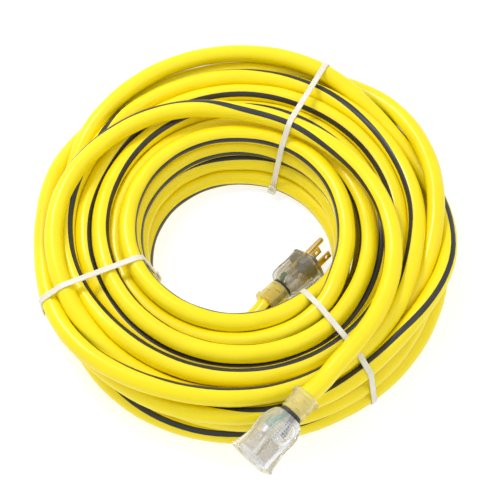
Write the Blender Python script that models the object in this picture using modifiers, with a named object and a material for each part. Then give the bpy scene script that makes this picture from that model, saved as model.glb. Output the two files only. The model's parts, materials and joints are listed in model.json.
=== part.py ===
"""Coiled heavy-duty extension cord: 50 ft of 10/3 jacketed cord, tied with three cable ties.

Metres, +Z up. The origin is the middle of the footprint, on the surface that the coil lies on.
The cord runs anticlockwise, seen from above, from the connector on top of the coil down to the
plug, which lies on the surface inside the hole. In the plug and in the connector, local +Z points
out of the face, local +Y to the ground pin or ground contact, and the face is at local Z = 0.
"""

import math

import bmesh
import bpy
from mathutils import Matrix, Vector

# Cord and coil
CORD_DIAMETER = 0.0152
CORD_RADIUS = CORD_DIAMETER / 2
GAP = 0.0003
COIL_CENTRE = Vector((0.0, 0.0210, 0.0))
COIL_OUTER_RADIUS = 0.1776
COIL_HEIGHT = CORD_DIAMETER * (1 + 3 * math.sin(math.radians(60)))
COIL_SHOULDER = 0.012
COIL_FOOT_RADIUS = CORD_RADIUS * 0.8
HOLE_CENTRE = Vector((0.0, 0.0112, 0.0))
HOLE_RADIUS_FLOOR = 0.0740
HOLE_RADIUS_TOP = 0.0825
COIL_STEPS = 72

# Cable ties. The head's length runs along the strap, and its width runs across it.
TIE_WIDTH = 0.0048
TIE_THICKNESS = 0.0013
TIE_CLEARANCE = 0.0008
TIE_GROOVE_DEPTH = 0.0026
TIE_GROOVE_WIDTH = TIE_WIDTH + 0.0016
TIE_GROOVE_REACH = 0.30
TIE_HEAD_LENGTH = 0.0062
TIE_HEAD_WIDTH = 0.0070
TIE_HEAD_DEPTH = 0.0048
TIE_HEAD_SINK = 0.0003
TIE_END_LENGTH = 0.0035
TIE_END_SINK = 0.004
TIE_END_OFFSET = 0.0024
TIE_CORNER_STEPS = 20

# Where each tie stands round the coil, in degrees, and how far out the tail passes under it.
TIES = [(64.5, 0.0922), (204.5, None), (306.5, None)]

# Plug, NEMA 5-15 blade pattern
BLADE_PITCH = 0.0127
BLADE_HEIGHT = 0.00635
BLADE_THICKNESS = 0.0015
BLADE_LENGTH = 0.0173
BLADE_HOLE_RADIUS = 0.0016
BLADE_ROOT = 0.0190
PIN_RADIUS = 0.00238
PIN_LENGTH = 0.0208
PIN_RISE = 0.0119
BLADE_LINE_Y = -0.0040
PLUG_FACE = Vector((0.0560, 0.0002, 0.0166))
PLUG_AXIS = Vector((0.68, 0.73, 0.0)).normalized()
PLUG_ROLL = math.radians(33)
PLUG_LENGTH = 0.0330
BRIDGE_WIDTH = 0.0190
BRIDGE_DEPTH = 0.0085

# Connector
CONNECTOR_REAR = Vector((0.0345, -0.1548, 0.0650))
CONNECTOR_AXIS = Vector((-0.668, -0.744, -0.10)).normalized()
CONNECTOR_ROLL = math.radians(-62)
CONNECTOR_LENGTH = 0.0430
SLOT_GAP = 0.0009
GROUND_HOLE_RADIUS = 0.0029
MOUTH_RADIUS = 0.0126
MOUTH_DEPTH = 0.0060
FACE_SETBACK = 0.0004
FACE_REAR = -0.0028
CARRIER_RADIUS = 0.0121
CARRIER_FRONT = FACE_REAR - GAP
CARRIER_DEPTH = 0.0165
CARRIER_CHAMFER = 0.0010
CAVITY_SIZE = (0.0046, 0.0076, 0.030)
GROUND_CAVITY_RADIUS = 0.0036
CONTACT_WIDTH = 0.0038
CONTACT_HEIGHT = 0.0068
CONTACT_GROOVE = 0.0018
CONTACT_BASE = 0.0020
CLEARANCE_BOX = (0.036, 0.036, 0.072)

# Strain reliefs and wiring
RELIEF_LENGTH = 0.0215
RELIEF_RADIUS = 0.0104
RELIEF_FLANGE_RADIUS = 0.0118
RELIEF_FLANGE_LENGTH = 0.0045
RELIEF_CHAMFER = 0.0012
RELIEF_TAPER = 0.0004
WINDOW_SIZE = (0.0060, 0.0048, 0.0018)
WINDOW_START = 0.0040
WINDOW_SPACING = 0.0045
JACKET_END_SETBACK = 0.0024
CONDUCTOR_CIRCLE = 0.0036
CONDUCTOR_RADIUS = 0.0021
COPPER_RADIUS = 0.0012
BARREL_OUTER = 0.0023
BARREL_INNER = 0.0016
BARREL_LENGTH = 0.0060
COPPER_SHORTFALL = 0.0008
WALL = 0.0024

# The route's own points where the cord isn't coiled. The first point is at the strain relief.
CONNECTOR_TAIL_ROUTE = [
    (0.0612, -0.1250, 0.0640),
    (0.0738, -0.1104, 0.0652),
    (0.0860, -0.0963, 0.0654),
    (0.0997, -0.0772, 0.0638),
    (0.1106, -0.0574, 0.0630),
    (0.1172, -0.0362, 0.0629),
    (0.1214, -0.0149, 0.0629),
    (0.1213, 0.0065, 0.0629),
    (0.1160, 0.0267, 0.0629),
    (0.1070, 0.0455, 0.0629),
    (0.0827, 0.0759, 0.0629),
    (0.0521, 0.0968, 0.0629),
    (0.0188, 0.1131, 0.0629),
    (-0.0199, 0.1202, 0.0629),
    (-0.0656, 0.1201, 0.0629),
    (-0.0884, 0.1119, 0.0622),
    (-0.1101, 0.0989, 0.0604),
    (-0.1281, 0.0805, 0.0588),
]
PLUG_TAIL_ROUTE = [
    (0.0100, -0.0503, 0.0146),
    (-0.0010, -0.0581, 0.0118),
    (-0.0130, -0.0625, 0.0091),
    (-0.0260, -0.0630, 0.0080),
]
ROUTE_STEPS = 3
TAIL_REST_HEIGHT = 0.0629
TAIL_GROOVE_POINTS = 12

COLLECTION_NAME = "extension_cord"


def clear_scene():
    for obj in list(bpy.data.objects):
        bpy.data.objects.remove(obj, do_unlink=True)


def new_collection(name):
    collection = bpy.data.collections.new(name)
    bpy.context.scene.collection.children.link(collection)
    return collection


def make_material(name, colour, roughness, metallic=0.0, transmission=0.0):
    material = bpy.data.materials.new(name)
    material.use_nodes = True
    shader = material.node_tree.nodes["Principled BSDF"]
    shader.inputs["Base Color"].default_value = (*colour, 1.0)
    shader.inputs["Roughness"].default_value = roughness
    shader.inputs["Metallic"].default_value = metallic
    shader.inputs["Transmission Weight"].default_value = transmission
    material.diffuse_color = (*colour, 1.0)
    return material


def smooth_mesh(mesh, degrees=35):
    mesh.shade_smooth()
    mesh.set_sharp_from_angle(angle=math.radians(degrees))


def add_object(name, data, material, frame=None):
    obj = bpy.data.objects.new(name, data)
    PARTS.objects.link(obj)
    if material is not None:
        obj.data.materials.append(material)
    if frame is not None:
        obj.matrix_world = frame
    return obj


def as_cutter(obj):
    """Moves the object to the cutters, which are drawn as wire and aren't rendered."""
    PARTS.objects.unlink(obj)
    CUTTERS.objects.link(obj)
    obj.hide_render = True
    obj.display_type = "WIRE"
    return obj


def cut(obj, *cutters, operation="DIFFERENCE"):
    for cutter in cutters:
        modifier = obj.modifiers.new(f"{operation.lower()}_{cutter.name}", "BOOLEAN")
        modifier.operation = operation
        modifier.solver = "EXACT"
        modifier.object = cutter
    return obj


def box_mesh(name, size, centre=(0, 0, 0)):
    mesh = bpy.data.meshes.new(name)
    shape = bmesh.new()
    place = Matrix.Translation(centre) @ Matrix.Diagonal((*size, 1.0))
    bmesh.ops.create_cube(shape, size=1.0, matrix=place)
    shape.to_mesh(mesh)
    shape.free()
    return mesh


def cylinder_mesh(name, radius, start, end, centre=(0, 0), segments=24):
    """A solid cylinder along local Z, from start to end."""
    mesh = bpy.data.meshes.new(name)
    shape = bmesh.new()
    place = Matrix.Translation((*centre, (start + end) / 2))
    bmesh.ops.create_cone(
        shape, cap_ends=True, segments=segments, radius1=radius, radius2=radius,
        depth=end - start, matrix=place,
    )
    shape.to_mesh(mesh)
    shape.free()
    smooth_mesh(mesh)
    return mesh


def box_part(name, size, centre, material, frame, bevel=0.0):
    obj = add_object(name, box_mesh(name, size, centre), material, frame)
    if bevel:
        modifier = obj.modifiers.new("rounded_edges", "BEVEL")
        modifier.width = bevel
        modifier.segments = 2
    return obj


def turned_part(name, profile, material, frame, steps=32, closed=True):
    """Turns (radius, height) points about local Z. They run down the outer side first."""
    mesh = bpy.data.meshes.new(name)
    shape = bmesh.new()
    points = [shape.verts.new((radius, 0.0, height)) for radius, height in profile]
    for first, second in zip(points, points[1:]):
        shape.edges.new((first, second))
    if closed:
        shape.edges.new((points[-1], points[0]))
    shape.to_mesh(mesh)
    shape.free()
    obj = add_object(name, mesh, material, frame)
    screw = obj.modifiers.new("turn", "SCREW")
    screw.axis = "Z"
    screw.steps = steps
    screw.render_steps = steps
    screw.use_merge_vertices = True
    screw.merge_threshold = 0.00001
    return obj


def arc(centre, radius, start, end, count):
    """Points on a circular arc, in degrees, both ends included."""
    angles = [math.radians(start + (end - start) * i / (count - 1)) for i in range(count)]
    return [(centre[0] + radius * math.cos(a), centre[1] + radius * math.sin(a)) for a in angles]


def loft_part(name, sections, material, frame, count=32):
    """A shell over superelliptic sections, closed at the last one. Each section holds
    (height, half width in X, half height in Y, offset in Y, exponent)."""
    mesh = bpy.data.meshes.new(name)
    shape = bmesh.new()
    rings = []
    for height, half_x, half_y, offset_y, exponent in sections:
        ring = []
        for i in range(count):
            a = 2 * math.pi * i / count
            x = half_x * math.copysign(abs(math.cos(a)) ** (2 / exponent), math.cos(a))
            y = half_y * math.copysign(abs(math.sin(a)) ** (2 / exponent), math.sin(a))
            ring.append(shape.verts.new((x, y + offset_y, height)))
        rings.append(ring)
    for lower, upper in zip(rings, rings[1:]):
        for i in range(count):
            j = (i + 1) % count
            shape.faces.new((lower[i], lower[j], upper[j], upper[i]))
    shape.faces.new(rings[-1])
    shape.to_mesh(mesh)
    shape.free()
    smooth_mesh(mesh)
    obj = add_object(name, mesh, material, frame)
    shell = obj.modifiers.new("wall", "SOLIDIFY")
    shell.thickness = WALL
    shell.offset = -1.0
    shell.use_even_offset = False
    return obj


def smooth_route(route, steps):
    """Catmull-Rom points through the route, with `steps` of them for each stretch."""
    points = [Vector(p) for p in route]
    padded = [2 * points[0] - points[1], *points, 2 * points[-1] - points[-2]]
    smooth = []
    for a, b, c, d in zip(padded, padded[1:], padded[2:], padded[3:]):
        for i in range(steps):
            t = i / steps
            point = 2 * b + (c - a) * t + (2 * a - 5 * b + 4 * c - d) * t**2
            point += (3 * b - a - 3 * c + d) * t**3
            smooth.append(point / 2)
    return [*smooth, points[-1]]


def tube_part(name, points, radius, material, bevel_resolution=2):
    curve = bpy.data.curves.new(name, "CURVE")
    curve.dimensions = "3D"
    curve.bevel_depth = radius
    curve.bevel_resolution = bevel_resolution
    curve.use_fill_caps = True
    spline = curve.splines.new("POLY")
    spline.points.add(len(points) - 1)
    for knot, point in zip(spline.points, points):
        knot.co = (*point, 1.0)
    return add_object(name, curve, material)


def solid_copy(source, name):
    """A mesh object with the shape of a curve object, its caps welded on."""
    bpy.context.view_layer.update()
    graph = bpy.context.evaluated_depsgraph_get()
    mesh = bpy.data.meshes.new_from_object(source.evaluated_get(graph))
    shape = bmesh.new()
    shape.from_mesh(mesh)
    bmesh.ops.remove_doubles(shape, verts=shape.verts, dist=0.00001)
    bmesh.ops.recalc_face_normals(shape, faces=shape.faces)
    shape.to_mesh(mesh)
    shape.free()
    obj = add_object(name, mesh, None)
    obj.matrix_world = source.matrix_world.copy()
    return obj


def tube_cutter(name, points, radius):
    """A cutter in the shape of a tube."""
    guide = tube_part(name + "_guide", points, radius, None)
    cutter = as_cutter(solid_copy(guide, name))
    bpy.data.objects.remove(guide, do_unlink=True)
    return cutter


def frame_on(origin, axis, roll):
    """A frame with +Z along the axis and +Y turned by roll from the most upright direction."""
    z = axis.normalized()
    upright = (Vector((0, 0, 1)) - z * z.z).normalized()
    side = upright.cross(z)
    y = upright * math.cos(roll) + side * math.sin(roll)
    x = y.cross(z)
    rotation = Matrix((x, y, z)).transposed().to_4x4()
    return Matrix.Translation(origin) @ rotation


def section_outline():
    """The outer side of the coil's half section, top to bottom, as (radius, height) points."""
    shoulder = arc((COIL_OUTER_RADIUS - COIL_SHOULDER, COIL_HEIGHT - COIL_SHOULDER),
                   COIL_SHOULDER, 90, 0, 5)
    foot = arc((COIL_OUTER_RADIUS - COIL_FOOT_RADIUS, COIL_FOOT_RADIUS),
               COIL_FOOT_RADIUS, 0, -90, 4)
    return [*shoulder, *foot]


def make_coil(material, tie_frames, connector_clearance):
    """The coil's outer shape: a turned disc, with the cone of its hole cut from it, grooves
    under the ties and the hollows that the two tails leave by."""
    profile = [(0.0, COIL_HEIGHT), *section_outline(), (0.0, 0.0)]
    coil = turned_part("cord_coil", profile, material, Matrix.Translation(COIL_CENTRE),
                       steps=COIL_STEPS, closed=False)
    hole = bpy.data.meshes.new("hole_cutter")
    shape = bmesh.new()
    slope = (HOLE_RADIUS_TOP - HOLE_RADIUS_FLOOR) / COIL_HEIGHT
    margin = 0.005
    bmesh.ops.create_cone(
        shape, cap_ends=True, segments=COIL_STEPS,
        radius1=HOLE_RADIUS_FLOOR - slope * margin, radius2=HOLE_RADIUS_TOP + slope * margin,
        depth=COIL_HEIGHT + 2 * margin,
        matrix=Matrix.Translation(HOLE_CENTRE + Vector((0, 0, COIL_HEIGHT / 2))),
    )
    shape.to_mesh(hole)
    shape.free()
    cutters = [as_cutter(add_object("hole_cutter", hole, None))]
    size = (TIE_GROOVE_REACH, TIE_GROOVE_WIDTH, 2 * TIE_GROOVE_DEPTH)
    for number, frame in enumerate(tie_frames, 1):
        groove = box_mesh("groove", size, (TIE_GROOVE_REACH / 2, 0, 0))
        cutters.append(as_cutter(add_object(f"tie_groove_cutter_{number}", groove, None, frame)))
    for name, route in (("connector_tail", CONNECTOR_TAIL_ROUTE), ("plug_tail", PLUG_TAIL_ROUTE)):
        points = smooth_route(route, ROUTE_STEPS)[-TAIL_GROOVE_POINTS:]
        points.append(points[-1] + (points[-1] - points[-2]).normalized() * GAP * 1.5)
        cutters.append(tube_cutter(f"{name}_groove_cutter", points, CORD_RADIUS + 2 * GAP))
    cutters.append(connector_clearance)
    return cut(coil, *cutters)


def convex_outline(points):
    """The points of the convex hull, clockwise from the leftmost one."""
    ordered = sorted(set(points))

    def chain(sequence):
        kept = []
        for p in sequence:
            while len(kept) > 1:
                (ax, ay), (bx, by) = kept[-2], kept[-1]
                if (bx - ax) * (p[1] - ay) - (by - ay) * (p[0] - ax) < 0:
                    break
                kept.pop()
            kept.append(p)
        return kept[:-1]

    return chain(ordered) + chain(ordered[::-1])


def tie_path(frame, tail_crossing):
    """The strap's centre line round the coil's section, in the tie's (outward, up) plane:
    the hull of the section's round corners and, where it passes underneath, of the tail."""
    origin = frame.translation
    outward = frame.to_3x3() @ Vector((1, 0, 0))

    def reach(centre, radius):
        """How far along `outward` the circle about `centre` lies from the frame's origin."""
        offset = centre - origin
        along = offset.dot(outward)
        return along + math.sqrt(radius**2 - offset.length_squared + along**2)

    lift = TIE_CLEARANCE + TIE_THICKNESS / 2
    outer = reach(COIL_CENTRE, COIL_OUTER_RADIUS)
    inner_floor = reach(HOLE_CENTRE, HOLE_RADIUS_FLOOR)
    inner_top = reach(HOLE_CENTRE, HOLE_RADIUS_TOP)
    foot = 2 * lift
    circles = [
        ((inner_top, COIL_HEIGHT), 0.0),
        ((outer - COIL_SHOULDER, COIL_HEIGHT - COIL_SHOULDER), COIL_SHOULDER),
        ((outer, foot), 0.0),
        ((inner_floor, foot), 0.0),
    ]
    if tail_crossing is not None:
        circles.append(((tail_crossing, TAIL_REST_HEIGHT), CORD_RADIUS + GAP))
    samples = []
    for centre, radius in circles:
        samples += arc(centre, radius + lift, 0, 360 - 360 / TIE_CORNER_STEPS, TIE_CORNER_STEPS)
    return convex_outline(samples)


def band_outline(path, half_thickness):
    """Points beside each point of the closed path, half_thickness away on its left side."""
    outline = []
    count = len(path)
    for i in range(count):
        before, after = Vector(path[i - 1]), Vector(path[(i + 1) % count])
        here = Vector(path[i])
        incoming = (here - before).normalized()
        outgoing = (after - here).normalized()
        tangent = (incoming + outgoing).normalized()
        normal = Vector((-tangent.y, tangent.x))
        stretch = 1 / max(0.5, incoming.dot(tangent))
        outline.append(here + normal * half_thickness * stretch)
    return outline


def make_tie(name, frame, tail_crossing, material):
    """A one-piece cable tie: a strap round the coil, its head inside the hole and the cut end."""
    path = tie_path(frame, tail_crossing)
    curve = bpy.data.curves.new(name, "CURVE")
    curve.dimensions = "2D"
    curve.fill_mode = "BOTH"
    curve.extrude = TIE_WIDTH / 2
    for side in (1, -1):
        outline = band_outline(path, side * TIE_THICKNESS / 2)
        spline = curve.splines.new("POLY")
        spline.points.add(len(outline) - 1)
        spline.use_cyclic_u = True
        for knot, point in zip(spline.points, outline):
            knot.co = (point.x, point.y, 0.0, 1.0)
    upright = Matrix.Rotation(math.radians(90), 4, "X")
    guide = add_object(name + "_guide", curve, None, frame @ upright)
    tie = solid_copy(guide, name)
    bpy.data.objects.remove(guide, do_unlink=True)
    tie.data.materials.clear()
    tie.data.materials.append(material)
    low = min((p for p in path if p[1] > 0.004), key=lambda p: p[0])
    high = min((p for p in path if p[1] > COIL_HEIGHT / 2), key=lambda p: p[0])
    wall_foot, wall_top = Vector(low), Vector(high)
    middle = wall_foot.lerp(wall_top, 0.45)
    slope = math.atan2(wall_top.x - wall_foot.x, wall_top.y - wall_foot.y)
    head_place = (
        frame
        @ Matrix.Translation((middle.x, 0, middle.y))
        @ Matrix.Rotation(slope, 4, "Y")
    )
    head_mesh = box_mesh("head", (TIE_HEAD_DEPTH, TIE_HEAD_WIDTH, TIE_HEAD_LENGTH),
                         (TIE_HEAD_SINK - TIE_HEAD_DEPTH / 2, 0, 0))
    head = as_cutter(add_object(name + "_head_shape", head_mesh, None, head_place))
    end_rise = (TIE_HEAD_LENGTH + TIE_END_LENGTH - TIE_END_SINK) / 2
    end_mesh = box_mesh("end", (TIE_THICKNESS, TIE_WIDTH, TIE_END_LENGTH + TIE_END_SINK),
                        (-TIE_END_OFFSET, 0, end_rise))
    end = as_cutter(add_object(name + "_end_shape", end_mesh, None, head_place))
    return cut(tie, head, end, operation="UNION")


def make_relief(name, frame, start, material):
    """A clear strain relief with a flange at the cord's end and three rows of staggered windows.
    Local Z runs from `start`, the cord's end, towards the face."""
    bore = CORD_RADIUS + GAP
    end = start + RELIEF_LENGTH
    flange_end = start + RELIEF_FLANGE_LENGTH
    profile = [
        (RELIEF_RADIUS - RELIEF_TAPER, end),
        (RELIEF_RADIUS, flange_end + RELIEF_CHAMFER),
        (RELIEF_FLANGE_RADIUS, flange_end),
        (RELIEF_FLANGE_RADIUS, start + RELIEF_CHAMFER),
        (RELIEF_FLANGE_RADIUS - RELIEF_CHAMFER, start),
        (bore, start),
        (bore, end),
    ]
    relief = turned_part(name, profile, material, frame, steps=32)
    cutters = []
    for row in range(3):
        height = flange_end + WINDOW_START + row * WINDOW_SPACING
        for k in range(2):
            angle = math.pi * k + math.radians(60) * row
            place = frame @ Matrix.Rotation(angle, 4, "Z")
            window = box_mesh("window", WINDOW_SIZE, (RELIEF_RADIUS, 0, height))
            cutters.append(as_cutter(add_object(f"{name}_window_{row}_{k}", window, None, place)))
    return cut(relief, *cutters)


def wire_layout(frame, entry, targets):
    """Three smooth paths from the jacket's end at height `entry` to each target point."""
    paths = []
    for index, target in enumerate(targets):
        angle = math.atan2(target[1], target[0])
        start = Vector((math.cos(angle), math.sin(angle), 0.0)) * CONDUCTOR_CIRCLE
        start.z = entry
        end = Vector(target)
        rise = (end.z - start.z) * 0.45
        route = [start, start + Vector((0, 0, rise * 0.4)), end - Vector((0, 0, rise * 0.6)), end]
        paths.append([frame @ p for p in smooth_route(route, 3)])
    return paths


def make_wiring(side, frame, entry, ends):
    """Crimp barrels at `ends`, and the insulated conductors and bare copper that lead to them."""
    names = ("line", "neutral", "ground")
    colours = (CONDUCTOR_BLACK, CONDUCTOR_WHITE, CONDUCTOR_GREEN)
    barrel_start = [Vector((x, y, z - BARREL_LENGTH)) for x, y, z in ends]
    targets = [p - Vector((0, 0, 2 * GAP)) for p in barrel_start]
    for name, colour, path in zip(names, colours, wire_layout(frame, entry, targets)):
        tube_part(f"{side}_{name}_conductor", path, CONDUCTOR_RADIUS, colour)
    for name, foot in zip(names, barrel_start):
        place = frame @ Matrix.Translation(foot)
        profile = [(BARREL_OUTER, BARREL_LENGTH), (BARREL_OUTER, 0.0), (BARREL_INNER, 0.0),
                   (BARREL_INNER, BARREL_LENGTH)]
        turned_part(f"{side}_{name}_crimp", profile, TINNED, place, steps=16)
        copper = cylinder_mesh("copper", COPPER_RADIUS, 0.0, BARREL_LENGTH - COPPER_SHORTFALL,
                               segments=12)
        add_object(f"{side}_{name}_copper", copper, COPPER, place)


def make_plug(frame):
    """The clear plug: body, bridge, two blades, ground pin, crimps, conductors, strain relief."""
    rear = -PLUG_LENGTH
    body = loft_part("plug_body", [
        (rear, 0.0108, 0.0110, 0.0000, 2.2),
        (rear + 0.0018, 0.0132, 0.0134, 0.0000, 2.3),
        (rear + 0.0060, 0.0150, 0.0152, 0.0002, 2.4),
        (rear + 0.0110, 0.0156, 0.0158, 0.0004, 2.4),
        (rear + 0.0180, 0.0146, 0.0154, 0.0006, 2.5),
        (rear + 0.0250, 0.0146, 0.0156, 0.0008, 2.6),
        (-0.0034, 0.0154, 0.0160, 0.0010, 2.7),
        (0.0, 0.0145, 0.0151, 0.0010, 2.7),
    ], CLEAR_SMOKY, frame)
    pin_y = BLADE_LINE_Y + PIN_RISE
    blade_x = BLADE_PITCH / 2
    slot = (BLADE_THICKNESS + 2 * GAP, BLADE_HEIGHT + 2 * GAP, 0.030)
    slots = [as_cutter(add_object(f"blade_slot_{k}", box_mesh(
        "slot", slot, (sign * blade_x, BLADE_LINE_Y, -0.006)), None, frame))
        for k, sign in enumerate((1, -1))]
    pin_hole = as_cutter(add_object("pin_hole", cylinder_mesh(
        "hole", PIN_RADIUS + GAP, -0.021, 0.009, (0, pin_y)), None, frame))
    cut(body, *slots, pin_hole)
    bridge_front = -WALL - 2 * GAP
    bridge = box_part("plug_bridge", (BRIDGE_WIDTH, BRIDGE_WIDTH, BRIDGE_DEPTH),
                      (0, 0.0010, bridge_front - BRIDGE_DEPTH / 2), BRIDGE_GREY, frame,
                      bevel=0.0012)
    cut(bridge, *slots, pin_hole)
    for name, sign in (("line", 1), ("neutral", -1)):
        length = BLADE_LENGTH + BLADE_ROOT
        centre_z = (BLADE_LENGTH - BLADE_ROOT) / 2
        blade = box_part(f"plug_{name}_blade", (BLADE_THICKNESS, BLADE_HEIGHT, length),
                         (sign * blade_x, BLADE_LINE_Y, centre_z), BRASS, frame, bevel=0.0004)
        place = frame @ Matrix.Translation((sign * blade_x, BLADE_LINE_Y, BLADE_LENGTH - 0.0048))
        place = place @ Matrix.Rotation(math.radians(90), 4, "Y")
        hole = cylinder_mesh("hole", BLADE_HOLE_RADIUS, -0.003, 0.003, segments=20)
        cut(blade, as_cutter(add_object(f"{name}_blade_hole", hole, None, place)))
    tip = arc((0.0, PIN_LENGTH - PIN_RADIUS), PIN_RADIUS, 90, 0, 6)
    pin_profile = [*tip, (PIN_RADIUS, -BLADE_ROOT), (0.0, -BLADE_ROOT)]
    turned_part("plug_ground_pin", pin_profile, BRASS, frame @ Matrix.Translation((0, pin_y, 0)),
                steps=24, closed=False)
    crimp_end = -BLADE_ROOT - GAP
    ends = [(blade_x, BLADE_LINE_Y, crimp_end), (-blade_x, BLADE_LINE_Y, crimp_end),
            (0, pin_y, crimp_end)]
    jacket_end = rear - JACKET_END_SETBACK
    make_wiring("plug", frame, jacket_end + 3 * GAP, ends)
    relief_start = rear - GAP - RELIEF_LENGTH
    make_relief("plug_strain_relief", frame, relief_start, CLEAR_SMOKY)
    return relief_start, jacket_end


def make_connector(frame):
    """The clear lighted connector: body, face, carrier, three contacts, lamp, wiring, relief."""
    rear = -CONNECTOR_LENGTH
    body = loft_part("connector_body", [
        (rear, 0.0112, 0.0112, 0.0, 2.2),
        (rear + 0.0020, 0.0138, 0.0132, 0.0, 2.4),
        (rear + 0.0070, 0.0155, 0.0146, 0.0, 2.6),
        (rear + 0.0140, 0.0157, 0.0148, 0.0, 2.6),
        (rear + 0.0220, 0.0150, 0.0148, 0.0, 2.7),
        (rear + 0.0310, 0.0151, 0.0150, 0.0, 2.9),
        (-0.0030, 0.0160, 0.0158, 0.0, 3.0),
        (0.0, 0.0162, 0.0160, 0.0, 3.0),
    ], CLEAR_FROSTED, frame)
    mouth = cylinder_mesh("mouth", MOUTH_RADIUS, -MOUTH_DEPTH, 0.004, segments=40)
    cut(body, as_cutter(add_object("connector_mouth", mouth, None, frame)))
    blade_x = BLADE_PITCH / 2
    hole_y = BLADE_LINE_Y + PIN_RISE
    slots = [as_cutter(add_object(f"contact_slot_{k}", box_mesh(
        "slot", (BLADE_THICKNESS + SLOT_GAP, BLADE_HEIGHT + SLOT_GAP, 0.012),
        (sign * blade_x, BLADE_LINE_Y, 0.0)), None, frame)) for k, sign in enumerate((1, -1))]
    ground_hole = as_cutter(add_object("ground_hole", cylinder_mesh(
        "hole", GROUND_HOLE_RADIUS, -MOUTH_DEPTH, MOUTH_DEPTH, (0, hole_y)), None, frame))
    face_radius = MOUTH_RADIUS - GAP
    face = turned_part("connector_face", [
        (0.0, -FACE_SETBACK), (face_radius - 0.0005, -FACE_SETBACK), (face_radius, -0.0009),
        (face_radius, FACE_REAR), (0.0, FACE_REAR),
    ], CARRIER_WHITE, frame, steps=36, closed=False)
    cut(face, *slots, ground_hole)
    carrier_rear = CARRIER_FRONT - CARRIER_DEPTH
    carrier = turned_part("connector_contact_carrier", [
        (0.0, CARRIER_FRONT), (CARRIER_RADIUS, CARRIER_FRONT),
        (CARRIER_RADIUS, carrier_rear + CARRIER_CHAMFER),
        (CARRIER_RADIUS - CARRIER_CHAMFER, carrier_rear), (0.0, carrier_rear),
    ], CARRIER_WHITE, frame, steps=36, closed=False)
    cavity_depth = CAVITY_SIZE[2]
    cavities = [as_cutter(add_object(f"contact_cavity_{k}", box_mesh(
        "cavity", CAVITY_SIZE, (sign * blade_x, BLADE_LINE_Y, -cavity_depth / 2)), None, frame))
        for k, sign in enumerate((1, -1))]
    cavities.append(as_cutter(add_object("ground_cavity", cylinder_mesh(
        "cavity", GROUND_CAVITY_RADIUS, -cavity_depth, 0.0, (0, hole_y)), None, frame)))
    cut(carrier, *cavities)
    contact_front = CARRIER_FRONT - 0.0008
    contact_rear = carrier_rear - 0.0010
    contact_middle = (contact_front + contact_rear) / 2
    depth = contact_front - contact_rear
    for name, sign in (("line", 1), ("neutral", -1)):
        contact = box_part(f"connector_{name}_contact", (CONTACT_WIDTH, CONTACT_HEIGHT, depth),
                           (sign * blade_x, BLADE_LINE_Y, contact_middle), BRASS, frame)
        groove = box_mesh("groove", (CONTACT_GROOVE, CONTACT_HEIGHT + 0.0022, depth),
                          (sign * blade_x, BLADE_LINE_Y, contact_middle + CONTACT_BASE))
        cut(contact, as_cutter(add_object(f"{name}_contact_groove", groove, None, frame)))
    ground_frame = frame @ Matrix.Translation((0, hole_y, contact_rear))
    turned_part("connector_ground_contact", [
        (0.0032, depth), (0.0032, 0.0), (0.0, 0.0), (0.0, 0.0018), (0.0025, 0.0018),
        (0.0025, depth),
    ], BRASS, ground_frame, steps=20)
    crimp_end = contact_rear - GAP
    ends = [(blade_x, BLADE_LINE_Y, crimp_end), (-blade_x, BLADE_LINE_Y, crimp_end),
            (0, hole_y, crimp_end)]
    jacket_end = rear - JACKET_END_SETBACK
    make_wiring("connector", frame, jacket_end + 3 * GAP, ends)
    make_indicator(frame, crimp_end)
    relief_start = rear - GAP - RELIEF_LENGTH
    make_relief("connector_strain_relief", frame, relief_start, CLEAR_FROSTED)
    return relief_start, jacket_end


def make_indicator(frame, crimp_end):
    """The neon lamp that shows power, and its series resistor, beside the two live crimps."""
    lamp_place = frame @ Matrix.Translation((0, -0.0090, crimp_end - 0.0085))
    lamp_profile = [*arc((0.0, 0.0056), 0.0017, 90, 0, 5), (0.0017, -0.0010), (0.0, -0.0010)]
    turned_part("connector_indicator_lamp", lamp_profile, LAMP, lamp_place, steps=16, closed=False)
    resistor_place = frame @ Matrix.Translation((0.0, -0.0050, crimp_end - 0.0070))
    turned_part("connector_lamp_resistor", [
        (0.0, 0.0044), (0.0007, 0.0044), (0.0010, 0.0036), (0.0008, 0.0018), (0.0010, 0.0004),
        (0.0007, -0.0004), (0.0, -0.0004),
    ], RESISTOR, resistor_place, steps=16, closed=False)


def tail_points(route, relief_end, start, axis):
    """The smooth tail, run on through the strain relief to the jacket's end."""
    points = [Vector(p) for p in route]
    inside = [relief_end + axis * (i / 3) * (start - relief_end).length for i in (3, 2, 1, 0)]
    return [*inside, *smooth_route([relief_end, *points], ROUTE_STEPS)[1:]]


clear_scene()
PARTS = new_collection(COLLECTION_NAME)
CUTTERS = new_collection("cutters")
CUTTERS.hide_render = True

JACKET = make_material("yellow_jacket", (0.98, 0.80, 0.02), 0.35)
NYLON = make_material("natural_nylon", (0.90, 0.88, 0.80), 0.45)
CLEAR_FROSTED = make_material("clear_frosted_vinyl", (0.93, 0.93, 0.92), 0.30, transmission=0.6)
CLEAR_SMOKY = make_material("clear_smoky_vinyl", (0.55, 0.52, 0.46), 0.22, transmission=0.6)
BRASS = make_material("brass", (0.80, 0.58, 0.25), 0.25, metallic=1.0)
TINNED = make_material("tinned_barrel", (0.75, 0.74, 0.72), 0.30, metallic=1.0)
COPPER = make_material("bare_copper", (0.80, 0.42, 0.25), 0.30, metallic=1.0)
CONDUCTOR_BLACK = make_material("black_insulation", (0.02, 0.02, 0.02), 0.40)
CONDUCTOR_WHITE = make_material("white_insulation", (0.88, 0.88, 0.85), 0.40)
CONDUCTOR_GREEN = make_material("green_insulation", (0.02, 0.30, 0.12), 0.40)
BRIDGE_GREY = make_material("grey_bridge", (0.35, 0.34, 0.32), 0.50)
CARRIER_WHITE = make_material("white_carrier", (0.85, 0.85, 0.82), 0.50)
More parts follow.
